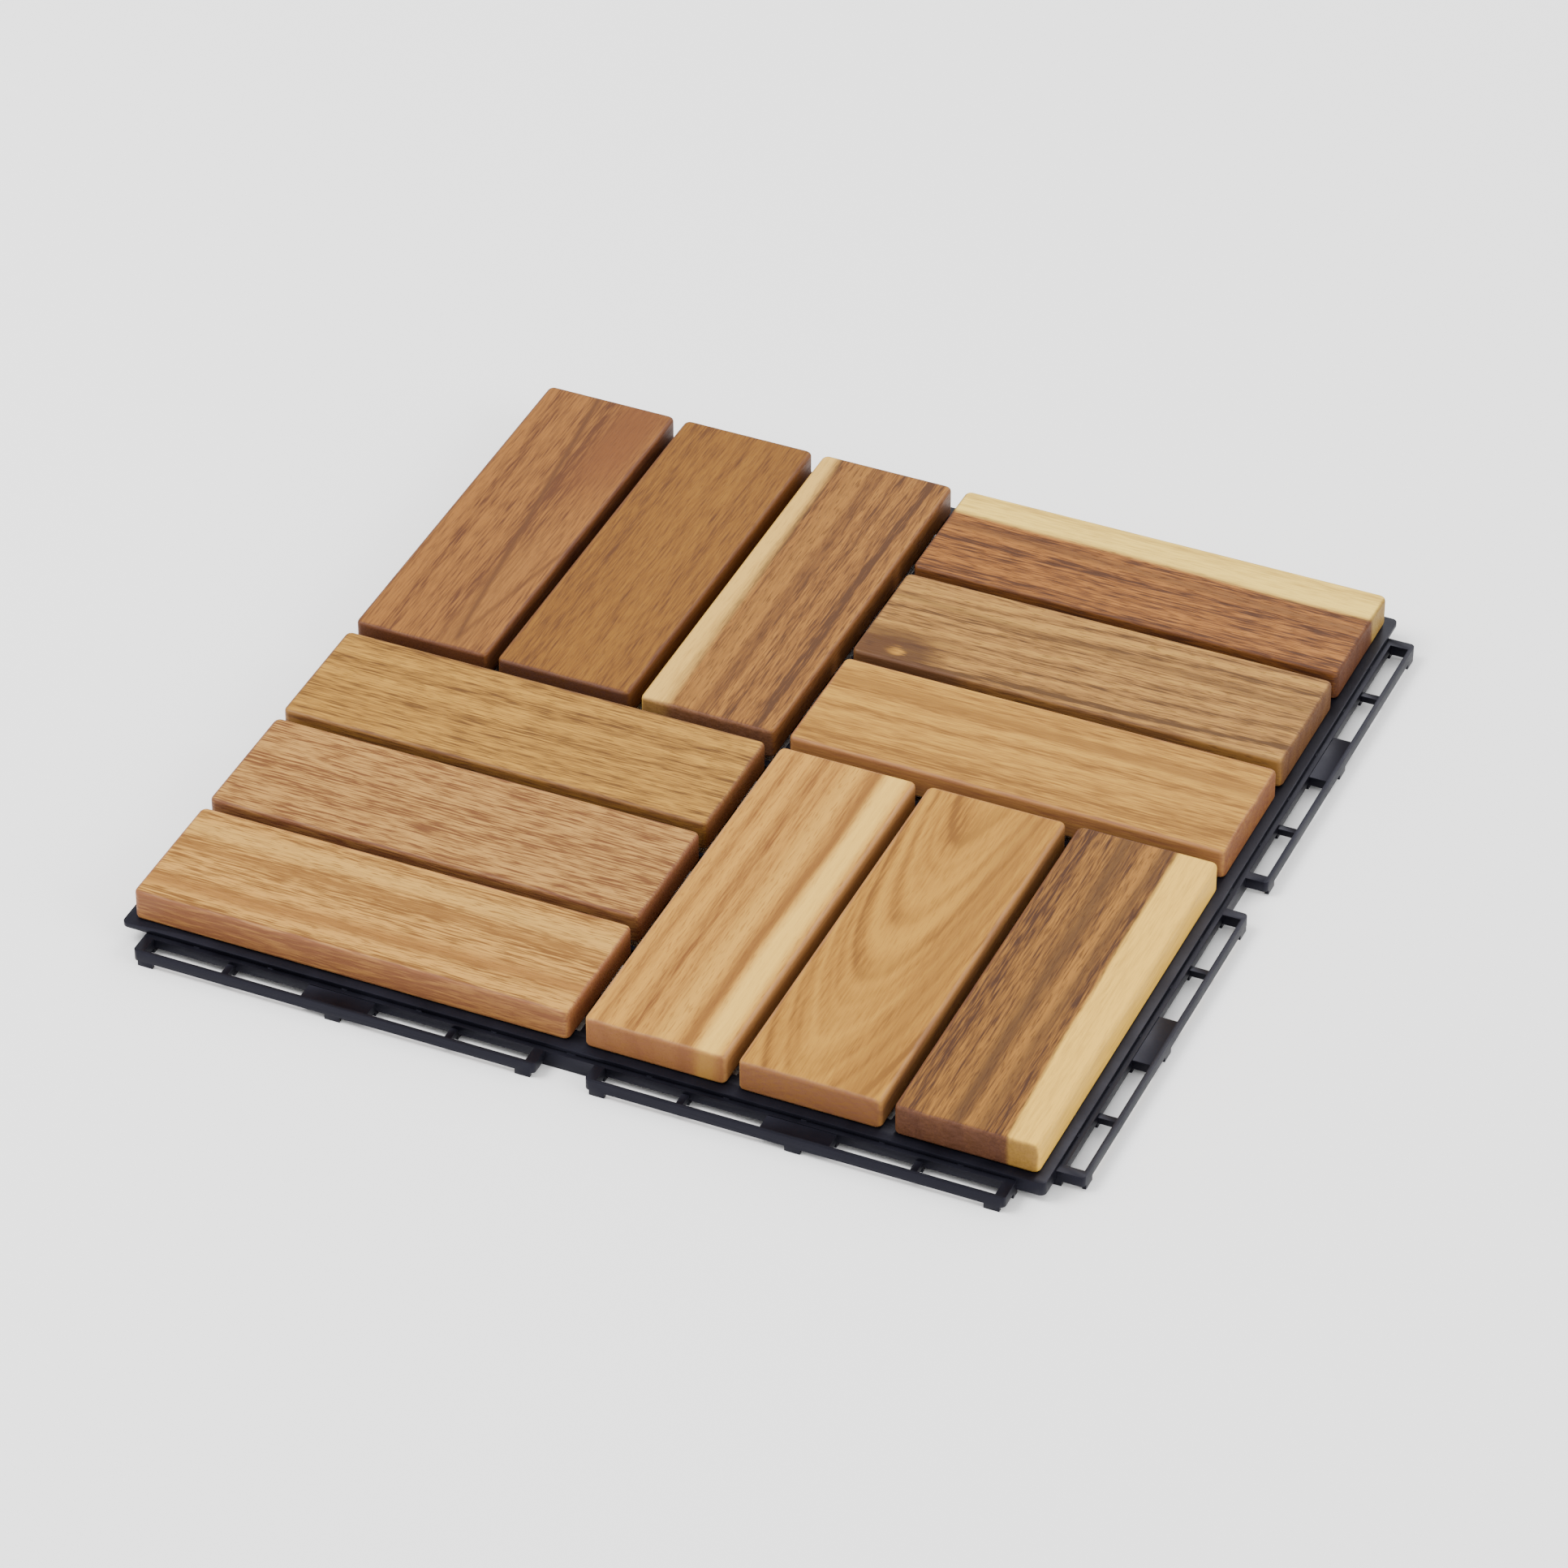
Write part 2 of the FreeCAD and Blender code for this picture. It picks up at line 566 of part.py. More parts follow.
def check_and_export(parts):
    """Stop on anything that failed, then write each sub-part to its own file."""
    doc.recompute()
    for item in doc.Objects:
        if {"Invalid", "Error"} & set(item.State):
            raise RuntimeError(f"{item.Name} failed: {item.State}")
    for part in parts:
        if part.Shape.isNull() or not part.Shape.isValid():
            raise RuntimeError(f"{part.Label} has no sound shape")
    os.makedirs("parts", exist_ok=True)
    for part in parts:
        part.Shape.exportStep(f"parts/{part.Label}.step")
        box = part.Shape.BoundBox
        print(f"{part.Label}: {len(part.Shape.Solids)} solids, {part.Shape.Volume / 1000:.2f} cm3, "
              f"z {box.ZMin:.2f} to {box.ZMax:.2f}")


fill_sheet()
all_parts = build_slats() + [build_base(), build_screws(build_screw())]
check_and_export(all_parts)
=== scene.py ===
"""Looks of an interlocking deck tile: oiled acacia slats screwed to a black moulded base."""

from __future__ import annotations

import json
import logging
import math
from dataclasses import dataclass, field
from enum import Enum
from typing import Any, ClassVar

import bmesh
import bpy
from mathutils import Matrix, Vector

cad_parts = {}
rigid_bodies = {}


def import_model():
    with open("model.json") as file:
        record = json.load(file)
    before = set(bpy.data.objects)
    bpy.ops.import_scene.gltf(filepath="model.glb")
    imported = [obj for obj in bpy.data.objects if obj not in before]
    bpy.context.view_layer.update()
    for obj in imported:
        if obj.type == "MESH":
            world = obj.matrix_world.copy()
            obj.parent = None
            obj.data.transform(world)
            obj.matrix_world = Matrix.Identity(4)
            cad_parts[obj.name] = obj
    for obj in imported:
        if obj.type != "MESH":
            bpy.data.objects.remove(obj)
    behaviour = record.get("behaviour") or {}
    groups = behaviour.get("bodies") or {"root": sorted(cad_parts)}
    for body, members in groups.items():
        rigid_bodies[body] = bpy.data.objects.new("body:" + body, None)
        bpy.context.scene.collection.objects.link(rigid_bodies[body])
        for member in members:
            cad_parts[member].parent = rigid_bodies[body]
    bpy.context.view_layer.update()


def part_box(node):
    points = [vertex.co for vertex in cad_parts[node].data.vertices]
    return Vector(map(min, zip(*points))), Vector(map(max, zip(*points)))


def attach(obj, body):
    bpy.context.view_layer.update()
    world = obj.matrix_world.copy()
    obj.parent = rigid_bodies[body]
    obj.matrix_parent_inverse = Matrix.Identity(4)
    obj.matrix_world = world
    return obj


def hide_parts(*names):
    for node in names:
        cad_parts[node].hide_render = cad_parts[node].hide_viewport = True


LOG = logging.getLogger("deck_tile")
MM = 0.001
CLOUDS = (0.3, 0.7)  # the part of a cloudy pattern's values that goes from one finish to the other
Triple = tuple[float, float, float]


class Kind(Enum):
    """The kinds of shader node that the finishes are made of."""

    PLACE = "ShaderNodeTexCoord"
    TURN = "ShaderNodeMapping"
    SPLIT = "ShaderNodeSeparateXYZ"
    JOIN = "ShaderNodeCombineXYZ"
    VECTOR = "ShaderNodeVectorMath"
    MATH = "ShaderNodeMath"
    NOISE = "ShaderNodeTexNoise"
    RANGE = "ShaderNodeMapRange"
    MIX = "ShaderNodeMix"
    BUMP = "ShaderNodeBump"
    SURFACE = "ShaderNodeBsdfPrincipled"
    OUTPUT = "ShaderNodeOutputMaterial"


class Run(Enum):
    """The way that a slat lies on the tile, as its turn from the X axis."""

    ALONG_X = 0.0
    ALONG_Y = math.pi / 2


def linear(colour: str) -> tuple[float, float, float, float]:
    """Turn an sRGB hex colour into linear light.

    Args:
        colour: Six hex digits after a number sign.

    Returns:
        Red, green and blue from 0 to 1, and an alpha of 1.
    """
    parts = [int(colour[place : place + 2], 16) / 255 for place in (1, 3, 5)]
    return (*(part / 12.92 if part <= 0.04045 else ((part + 0.055) / 1.055) ** 2.4 for part in parts), 1.0)


def add_node(tree: bpy.types.NodeTree, kind: Kind, sockets: dict[str | int, Any],
             **settings: Any) -> bpy.types.Node:
    """Add a node with its settings, values and links.

    Args:
        tree: The material's node tree.
        kind: The kind of node.
        sockets: For each input by name or number: a value, an output, or a node whose first output is meant.
        **settings: The node's own properties.

    Returns:
        The new node.
    """
    node = tree.nodes.new(kind.value)
    for name, setting in settings.items():
        setattr(node, name, setting)
    for name, source in sockets.items():
        if isinstance(source, bpy.types.Node):
            source = next(output for output in source.outputs if output.enabled)
        if isinstance(source, bpy.types.NodeSocket):
            tree.links.new(source, node.inputs[name])
        else:
            node.inputs[name].default_value = source
    return node


def new_material(name: str) -> tuple[bpy.types.Material, bpy.types.NodeTree]:
    """Make an empty node material.

    Args:
        name: What the material is and how it was made.

    Returns:
        The material and its node tree.
    """
    material = bpy.data.materials.new(name)
    material.use_nodes = True
    material.node_tree.nodes.clear()
    return material, material.node_tree


def new_piece(name: str, mesh_maker: bmesh.types.BMesh, material: bpy.types.Material) -> bpy.types.Object:
    """Turn a finished bmesh into a piece at the origin with one material.

    Args:
        name: The piece's name.
        mesh_maker: The bmesh, which is freed.
        material: The piece's finish.

    Returns:
        The new object.
    """
    mesh = bpy.data.meshes.new(name)
    mesh_maker.to_mesh(mesh)
    mesh_maker.free()
    mesh.materials.append(material)
    piece = bpy.data.objects.new(name, mesh)
    bpy.context.scene.collection.objects.link(piece)
    return piece


@dataclass(frozen=True)
class Stripe:
    """A strip of other wood along a slat: sapwood, a dark streak or a broad growth zone.

    Attributes:
        colour: Its sRGB colour.
        middle_mm: Where its middle lies, from the slat's centre line.
        half_mm: Half its width.
        soft_mm: How far its edge fades.
        slope: How far it drifts sideways for each millimetre along.
        strength: How much of it shows, from 0 to 1.
        sapwood: Whether it stays pale on the board's sides too.
        fade_mm: Where along the slat it begins to show and where it shows in full.
    """

    colour: str
    middle_mm: float
    half_mm: float
    soft_mm: float
    slope: float = 0.0
    strength: float = 1.0
    sapwood: bool = False
    fade_mm: tuple[float, float] = (-200.0, -190.0)


@dataclass(frozen=True)
class Knot:
    """A small pin knot.

    Attributes:
        along_mm: Where it lies along the slat, from the slat's middle.
        across_mm: Where it lies across the slat, from its centre line.
        radius_mm: Its radius across the grain.
        core: Colour of the knot.
        halo: Colour of the wood round it.
    """

    along_mm: float
    across_mm: float
    radius_mm: float
    core: str
    halo: str


@dataclass(frozen=True)
class Acacia:
    """Acacia, planed, with its edges eased, and oiled: a satin board with brown growth zones.

    Attributes:
        name: What sets this board apart.
        light: Colour of the early wood.
        middle: Colour of most of the board.
        dark: Colour of the late wood and the pores.
        edge: Colour of the eased edges and the long sides, which took up more oil, with painted shade there, as
            these faces lie in shade; on some boards it is paler, a painted rim highlight.
        end: Colour of the oiled end grain.
        ring_mm: Width of a growth zone.
        contrast: How clearly the zones show.
        pith_mm: Where the heart of the tree lies, across and below the board's centre.
        wander_mm: How far the zones stray.
        fibre: Strength of the long and fine fibres.
        fleck: Strength of the short pores.
        lean: How the heart drifts across and down for each millimetre along, which arches the figure.
        stripes: Strips of other wood.
        knots: Pin knots.
    """

    name: str
    light: str
    middle: str
    dark: str
    edge: str
    end: str
    ring_mm: float
    contrast: float
    pith_mm: tuple[float, float]
    wander_mm: float
    fibre: float
    fleck: float
    lean: tuple[float, float] = (0.0, 0.0)
    stripes: tuple[Stripe, ...] = ()
    knots: tuple[Knot, ...] = ()


class AcaciaMaterial:
    """Builds the node material of one acacia board from its finish, in the board's own axes."""

    # lumps to a metre, along, across and through the board
    WANDERING: ClassVar[Triple] = (9.0, 32.0, 32.0)  # the grain strays over about 110 mm along and 31 mm across
    LONG_FIBRES: ClassVar[Triple] = (38.0, 650.0, 650.0)  # about 26 mm long and 1.5 mm wide
    FINE_FIBRES: ClassVar[Triple] = (95.0, 1500.0, 1500.0)  # about 10 mm long and 0.7 mm wide
    PORES: ClassVar[Triple] = (170.0, 1700.0, 1700.0)  # dashes 6 mm long, drawn 0.6 mm wide so that they show
    FRAYED_EDGE: ClassVar[Triple] = (120.0, 120.0, 120.0)  # waves of about 8 mm
    END_PORES: ClassVar[Triple] = (200.0, 500.0, 1400.0)  # rows, drawn 0.7 mm high so that they show
    PATTERN_ROUGHNESS: ClassVar[float] = 0.55

    LAYER_WEIGHTS: ClassVar[Triple] = (1.9, 0.9, 1.7)  # growth zones, long fibres, fine fibres
    TONE_SPAN: ClassVar[float] = 0.27  # from the middle colour to the light one, and down to the dark one
    PORE_VALUES: ClassVar[tuple[float, float]] = (0.54, 0.68)  # where a pore begins and where it is full
    END_PORE_VALUES: ClassVar[tuple[float, float]] = (0.35, 0.7)
    STRIPE_TONES: ClassVar[tuple[float, float]] = (0.15, -0.7)  # a stripe's fibres begin and end at these tones
    STRIPE_FIBRES: ClassVar[float] = 0.55  # how much of the fibres shows on a stripe

    # a knot is drawn out along the grain, and its parts begin and are full at so many radii
    KNOT_SQUEEZE: ClassVar[float] = 0.5
    KNOT_FRAY_MM: ClassVar[float] = 2.5
    KNOT_HALO: ClassVar[tuple[float, float]] = (3.2, 1.3)
    KNOT_CORE: ClassVar[tuple[float, float]] = (0.7, 0.25)
    KNOT_SHARE: ClassVar[float] = 0.85

    # the cutter and the sander left the edge uneven by some tenths of a millimetre; the edge colour, partly
    # painted shade, wavers with it
    FRAY_MM: ClassVar[float] = 1.2
    # the edge colour is partly painted shade on the long sides and rims, partly a deeper oiled tone; these
    # settings and its share below place it
    EDGE_SHADING_MM: ClassVar[tuple[float, float]] = (0.9, -0.2)  # how far in the edge's colour begins and is full
    END_MM: ClassVar[tuple[float, float]] = (0.5, -0.5)
    EDGE_SHADING_SHARE: ClassVar[float] = 0.6
    END_SHARE: ClassVar[float] = 0.7
    END_PORE_SHARE: ClassVar[float] = 0.7
    SAPWOOD_SHARE: ClassVar[float] = 0.2  # sapwood shows this much of the dark edge and the pores

    # what the tone, the pores and the end grain do to the gloss and the relief
    BASE_ROUGHNESS: ClassVar[float] = 0.48
    ROUGHNESS_WEIGHTS: ClassVar[Triple] = (-0.10, 0.20, 0.15)
    RELIEF_WEIGHTS: ClassVar[Triple] = (0.6, -0.9, 0.3)
    RELIEF_STRENGTH: ClassVar[float] = 0.55
    RELIEF_MM: ClassVar[float] = 0.15
    OIL_IOR: ClassVar[float] = 1.42
    OIL_SPECULAR: ClassVar[float] = 0.25

    def __init__(self, finish: Acacia, centre: Vector, run: Run, size: Vector) -> None:
        """Take the finish and the place of the board, and bend the straight axes as grain wanders.

        Args:
            finish: How the board looks.
            centre: Its centre in the tile's axes.
            run: Which way it lies.
            size: Its length, width and thickness.
        """
        self.finish = finish
        self.size = size
        self.material, self.tree = new_material(f"oiled acacia, planed, {finish.name}")
        place = add_node(self.tree, Kind.PLACE, {})
        self.local = add_node(self.tree, Kind.TURN, {
            "Vector": place.outputs["Object"], "Location": centre, "Rotation": (0.0, 0.0, run.value)},
            vector_type="TEXTURE")
        self.along = add_node(self.tree, Kind.SPLIT, {0: self.local}).outputs["X"]
        wander = finish.wander_mm * MM
        stray = self.streaks(self.WANDERING, 2.0)
        centred = add_node(self.tree, Kind.VECTOR, {0: self.local, 1: (0.0, wander, wander)},
                           operation="SUBTRACT")
        self.strayed = add_node(self.tree, Kind.VECTOR, {
            0: stray.outputs["Color"], 1: (0.0, 2 * wander, 2 * wander), 2: centred}, operation="MULTIPLY_ADD")
        heart = add_node(self.tree, Kind.VECTOR, {
            0: self.strayed, 1: (0.0, *(mm * MM for mm in finish.pith_mm))}, operation="SUBTRACT")
        sideways = add_node(self.tree, Kind.VECTOR, {0: heart, 1: Vector((1.0, *finish.lean)).normalized()},
                            operation="CROSS_PRODUCT")
        self.heart_gap = add_node(self.tree, Kind.VECTOR, {0: sideways}, operation="LENGTH")
        self.tone = self.grain_tone()
        self.heartwood: bpy.types.Node | float = 1.0

    def streaks(self, lumps_per_m: Triple, detail: float) -> bpy.types.Node:
        """A cloudy pattern stretched along the board. No two boards share a part of it.

        Args:
            lumps_per_m: How many lumps there are to a metre, along, across and through the board.
            detail: How many finer layers it has.

        Returns:
            The pattern's node, from 0 to 1.
        """
        shift = (self.finish.pith_mm[0], lumps_per_m[0], len(self.finish.name))
        stretched = add_node(self.tree, Kind.VECTOR, {0: self.local, 1: lumps_per_m, 2: shift},
                             operation="MULTIPLY_ADD")
        return add_node(self.tree, Kind.NOISE, {
            "Vector": stretched, "Scale": 1.0, "Detail": detail, "Roughness": self.PATTERN_ROUGHNESS})

    def grain_tone(self) -> bpy.types.Node:
        """Growth zones with long and fine fibres, from dark below zero to pale above.

        Returns:
            The node of the tone.
        """
        rings = add_node(self.tree, Kind.NOISE, {
            "W": self.heart_gap, "Scale": 1 / (self.finish.ring_mm * MM), "Detail": 2.0, "Roughness": 0.5},
            noise_dimensions="1D")
        layers = add_node(self.tree, Kind.JOIN, {
            0: rings, 1: self.streaks(self.LONG_FIBRES, 4.0), 2: self.streaks(self.FINE_FIBRES, 2.0)})
        strengths = Vector((self.finish.contrast, self.finish.fibre, self.finish.fibre))
        weights = Vector(self.LAYER_WEIGHTS) * strengths
        blend = add_node(self.tree, Kind.VECTOR, {0: layers, 1: weights}, operation="DOT_PRODUCT")
        return add_node(self.tree, Kind.MATH, {0: blend, 1: sum(weights) / 2}, operation="SUBTRACT")

    def grain_colour(self) -> bpy.types.Node:
        """Colour the tone from dark over middle to light.

        Returns:
            The node of the colour.
        """
        pale = add_node(self.tree, Kind.RANGE, {0: self.tone, "From Min": 0.0, "From Max": self.TONE_SPAN})
        deep = add_node(self.tree, Kind.RANGE, {0: self.tone, "From Min": 0.0, "From Max": -self.TONE_SPAN})
        colour = add_node(self.tree, Kind.MIX, {
            0: pale, 6: linear(self.finish.middle), 7: linear(self.finish.light)}, data_type="RGBA")
        return add_node(self.tree, Kind.MIX, {
            0: deep, 6: colour, 7: linear(self.finish.dark)}, data_type="RGBA")

    def lay_stripe(self, colour: bpy.types.Node, stripe: Stripe) -> bpy.types.Node:
        """Lay one stripe of other wood over the board.

        Args:
            colour: The colour so far.
            stripe: The stripe.

        Returns:
            The node of the new colour.
        """
        place = add_node(self.tree, Kind.VECTOR, {0: self.strayed, 1: (-stripe.slope, 1.0, 0.0)},
                         operation="DOT_PRODUCT")
        offset = add_node(self.tree, Kind.MATH, {0: place, 1: stripe.middle_mm * MM}, operation="SUBTRACT")
        reach = add_node(self.tree, Kind.MATH, {0: offset}, operation="ABSOLUTE")
        share = add_node(self.tree, Kind.RANGE, {
            0: reach, "From Min": (stripe.half_mm + stripe.soft_mm) * MM,
            "From Max": (stripe.half_mm - stripe.soft_mm) * MM, "To Max": stripe.strength},
            interpolation_type="SMOOTHSTEP")
        shown = add_node(self.tree, Kind.RANGE, {
            0: self.along, "From Min": stripe.fade_mm[0] * MM, "From Max": stripe.fade_mm[1] * MM},
            interpolation_type="SMOOTHSTEP")
        share = add_node(self.tree, Kind.MATH, {0: share, 1: shown}, operation="MULTIPLY")
        if stripe.sapwood:
            self.heartwood = add_node(self.tree, Kind.RANGE, {
                0: share, "To Min": 1.0, "To Max": self.SAPWOOD_SHARE})
        faint, full = self.STRIPE_TONES
        fibres = add_node(self.tree, Kind.RANGE, {
            0: self.tone, "From Min": faint, "From Max": full, "To Max": self.STRIPE_FIBRES})
        grained = add_node(self.tree, Kind.MIX, {
            0: fibres, 6: linear(stripe.colour), 7: linear(self.finish.middle)}, data_type="RGBA")
        return add_node(self.tree, Kind.MIX, {0: share, 6: colour, 7: grained}, data_type="RGBA")

    def lay_knot(self, colour: bpy.types.Node, knot: Knot) -> bpy.types.Node:
        """Lay one pin knot over the board, longer than it is wide.

        Args:
            colour: The colour so far.
            knot: The knot.

        Returns:
            The node of the new colour.
        """
        squeeze = Vector((self.KNOT_SQUEEZE, 1.0, 0.0))
        centre = Vector((knot.along_mm, knot.across_mm, 0.0)) * MM * squeeze
        flat = add_node(self.tree, Kind.VECTOR, {0: self.strayed, 1: squeeze}, operation="MULTIPLY")
        gap = add_node(self.tree, Kind.VECTOR, {0: flat, 1: centre}, operation="DISTANCE")
        frayed = add_node(self.tree, Kind.MATH, {0: self.tone, 1: self.KNOT_FRAY_MM * MM, 2: gap},
                          operation="MULTIPLY_ADD")
        for shade, (outer, inner) in ((knot.halo, self.KNOT_HALO), (knot.core, self.KNOT_CORE)):
            share = add_node(self.tree, Kind.RANGE, {
                0: frayed, "From Min": outer * knot.radius_mm * MM, "From Max": inner * knot.radius_mm * MM,
                "To Max": self.KNOT_SHARE}, interpolation_type="SMOOTHSTEP")
            colour = add_node(self.tree, Kind.MIX, {0: share, 6: colour, 7: linear(shade)}, data_type="RGBA")
        return colour

    def paint_edge_shading_and_ends(self, colour: bpy.types.Node) -> tuple[bpy.types.Node, bpy.types.Node]:
        """Colour the eased edges and long sides, which took up more oil and carry painted shade (on some boards
        a painted rim highlight), and the sawn ends.

        Args:
            colour: The colour of the face.

        Returns:
            The colour with its edges, and how much of it is end grain.
        """
        reach = add_node(self.tree, Kind.VECTOR, {0: self.local}, operation="ABSOLUTE")
        gaps = add_node(self.tree, Kind.VECTOR, {0: self.size / 2, 1: reach}, operation="SUBTRACT")
        uneven = add_node(self.tree, Kind.VECTOR, {
            0: self.streaks(self.FRAYED_EDGE, 3.0), 1: Vector([self.FRAY_MM] * 3) * MM}, operation="MULTIPLY")
        frayed = add_node(self.tree, Kind.VECTOR, {0: gaps, 1: uneven}, operation="SUBTRACT")
        end_gap, side_gap, _ = add_node(self.tree, Kind.SPLIT, {0: frayed}).outputs
        nearest = add_node(self.tree, Kind.MATH, {0: end_gap, 1: side_gap}, operation="MINIMUM")
        # painted shade: the long sides and rims are darkened as if in shade, mixed with a deeper oiled tone; on
        # some boards paler, a painted rim highlight
        oiled = add_node(self.tree, Kind.MATH, {0: self.heartwood, 1: self.EDGE_SHADING_SHARE}, operation="MULTIPLY")
        eased = add_node(self.tree, Kind.RANGE, {
            0: nearest, "From Min": self.EDGE_SHADING_MM[0] * MM, "From Max": self.EDGE_SHADING_MM[1] * MM, "To Max": oiled},
            interpolation_type="SMOOTHSTEP")
        colour = add_node(self.tree, Kind.MIX, {
            0: eased, 6: colour, 7: linear(self.finish.edge)}, data_type="RGBA")
        end_grain = add_node(self.tree, Kind.RANGE, {
            0: end_gap, "From Min": self.END_MM[0] * MM, "From Max": self.END_MM[1] * MM,
            "To Max": self.END_SHARE}, interpolation_type="SMOOTHSTEP")
        speckle = add_node(self.tree, Kind.RANGE, {
            0: self.streaks(self.END_PORES, 3.0), "From Min": self.END_PORE_VALUES[0],
            "From Max": self.END_PORE_VALUES[1], "To Max": self.END_PORE_SHARE})
        end_tone = add_node(self.tree, Kind.MIX, {
            0: speckle, 6: linear(self.finish.end), 7: linear(self.finish.dark)}, data_type="RGBA")
        colour = add_node(self.tree, Kind.MIX, {0: end_grain, 6: colour, 7: end_tone}, data_type="RGBA")
        return colour, end_grain

    def build(self) -> bpy.types.Material:
        """Put the board's colour, roughness and relief together.

        The growth zones and stripes give the eye the warm figure of each single board, the pores its fine
        dark dashes, and the oil a satin sheen that breaks up over the fibres and dulls on the end grain.

        Returns:
            The finished material.
        """
        colour = self.grain_colour()
        for stripe in self.finish.stripes:
            colour = self.lay_stripe(colour, stripe)
        for knot in self.finish.knots:
            colour = self.lay_knot(colour, knot)
        depth = add_node(self.tree, Kind.MATH, {0: self.heartwood, 1: self.finish.fleck}, operation="MULTIPLY")
        pores = add_node(self.tree, Kind.RANGE, {
            0: self.streaks(self.PORES, 1.0), "From Min": self.PORE_VALUES[0], "From Max": self.PORE_VALUES[1],
            "To Max": depth}, interpolation_type="SMOOTHSTEP")
        colour = add_node(self.tree, Kind.MIX, {
            0: pores, 6: colour, 7: linear(self.finish.dark)}, data_type="RGBA")
        colour, end_grain = self.paint_edge_shading_and_ends(colour)
        layers = add_node(self.tree, Kind.JOIN, {0: self.tone, 1: pores, 2: end_grain})
        rough = add_node(self.tree, Kind.VECTOR, {0: layers, 1: self.ROUGHNESS_WEIGHTS},
                         operation="DOT_PRODUCT")
        rough = add_node(self.tree, Kind.MATH, {0: rough, 1: self.BASE_ROUGHNESS}, operation="ADD")
        relief = add_node(self.tree, Kind.VECTOR, {0: layers, 1: self.RELIEF_WEIGHTS}, operation="DOT_PRODUCT")
        bump = add_node(self.tree, Kind.BUMP, {
            "Height": relief, "Strength": self.RELIEF_STRENGTH, "Distance": self.RELIEF_MM * MM})
        shader = add_node(self.tree, Kind.SURFACE, {
            "Base Color": colour, "Roughness": rough, "IOR": self.OIL_IOR,
            "Specular IOR Level": self.OIL_SPECULAR, "Normal": bump})
        add_node(self.tree, Kind.OUTPUT, {"Surface": shader})
        return self.material


@dataclass(frozen=True)
class MouldedPolypropylene:
    """Black polypropylene, injection moulded in a finely spark-eroded mould: satin, slightly blue.

    Attributes:
        body: Colour of the plastic.
        scuffed: Colour of its faint flow marks.
        gloss: Tint of its reflections.
        grain_mm: Grain of the mould's texture, which is finer and is drawn this coarse so that it shows.
        cloud_mm: Size of the flow marks.
        rough: Roughness of the body and of the flow marks.
        relief_mm: Height of the mould's texture.
        relief_strength: How strongly the texture tilts the light.
        ior: Index of refraction.
        specular: Level of the reflections, low because the object looks nearly black.
    """

    body: str = "#050509"
    scuffed: str = "#0c0c12"
    gloss: str = "#dedcff"
    grain_mm: float = 0.35
    cloud_mm: float = 14.0
    rough: tuple[float, float] = (0.34, 0.50)
    relief_mm: float = 0.05
    relief_strength: float = 0.25
    ior: float = 1.49
    specular: float = 0.2

    def build(self) -> bpy.types.Material:
        """Make the material.

        The fine pebbled relief breaks up the lamps' reflections, and faint cloudy flow marks keep the large
        faces from looking painted.

        Returns:
            The finished material.
        """
        material, tree = new_material("black polypropylene, injection moulded")
        place = add_node(tree, Kind.PLACE, {}).outputs["Object"]
        grain = add_node(tree, Kind.NOISE, {"Vector": place, "Scale": 1 / (self.grain_mm * MM), "Detail": 2.0})
        clouds = add_node(tree, Kind.NOISE, {"Vector": place, "Scale": 1 / (self.cloud_mm * MM), "Detail": 4.0})
        share = add_node(tree, Kind.RANGE, {0: clouds, "From Min": CLOUDS[0], "From Max": CLOUDS[1]})
        colour = add_node(tree, Kind.MIX, {
            0: share, 6: linear(self.body), 7: linear(self.scuffed)}, data_type="RGBA")
        rough = add_node(tree, Kind.RANGE, {0: share, "To Min": self.rough[0], "To Max": self.rough[1]})
        bump = add_node(tree, Kind.BUMP, {
            "Height": grain, "Strength": self.relief_strength, "Distance": self.relief_mm * MM})
        shader = add_node(tree, Kind.SURFACE, {
            "Base Color": colour, "Roughness": rough, "IOR": self.ior, "Specular IOR Level": self.specular,
            "Specular Tint": linear(self.gloss), "Normal": bump})
        add_node(tree, Kind.OUTPUT, {"Surface": shader})
        return material


@dataclass(frozen=True)
class ZincPlatedSteel:
    """Steel, cold formed and zinc plated: a bright grey metal with faint yellow patches.

    Attributes:
        bright: Colour of the clean plating.
        dull: Colour of the patches.
        patch_mm: Size of the patches.
        rough: Roughness of the clean plating and of the patches.
    """

    bright: str = "#c9c9c4"
    dull: str = "#a39f92"
    patch_mm: float = 2.5
    rough: tuple[float, float] = (0.28, 0.42)

    def build(self) -> bpy.types.Material:
        """Make the material.

        Its plating is a little uneven in colour and gloss, which gives the small heads a used, real look.

        Returns:
            The finished material.
        """
        material, tree = new_material("steel, cold formed and zinc plated")
        place = add_node(tree, Kind.PLACE, {}).outputs["Object"]
        patches = add_node(tree, Kind.NOISE, {
            "Vector": place, "Scale": 1 / (self.patch_mm * MM), "Detail": 3.0})
        share = add_node(tree, Kind.RANGE, {0: patches, "From Min": CLOUDS[0], "From Max": CLOUDS[1]})
        colour = add_node(tree, Kind.MIX, {
            0: share, 6: linear(self.bright), 7: linear(self.dull)}, data_type="RGBA")
        rough = add_node(tree, Kind.RANGE, {0: share, "To Min": self.rough[0], "To Max": self.rough[1]})
        shader = add_node(tree, Kind.SURFACE, {"Base Color": colour, "Roughness": rough, "Metallic": 1.0})
        add_node(tree, Kind.OUTPUT, {"Surface": shader})
        return material
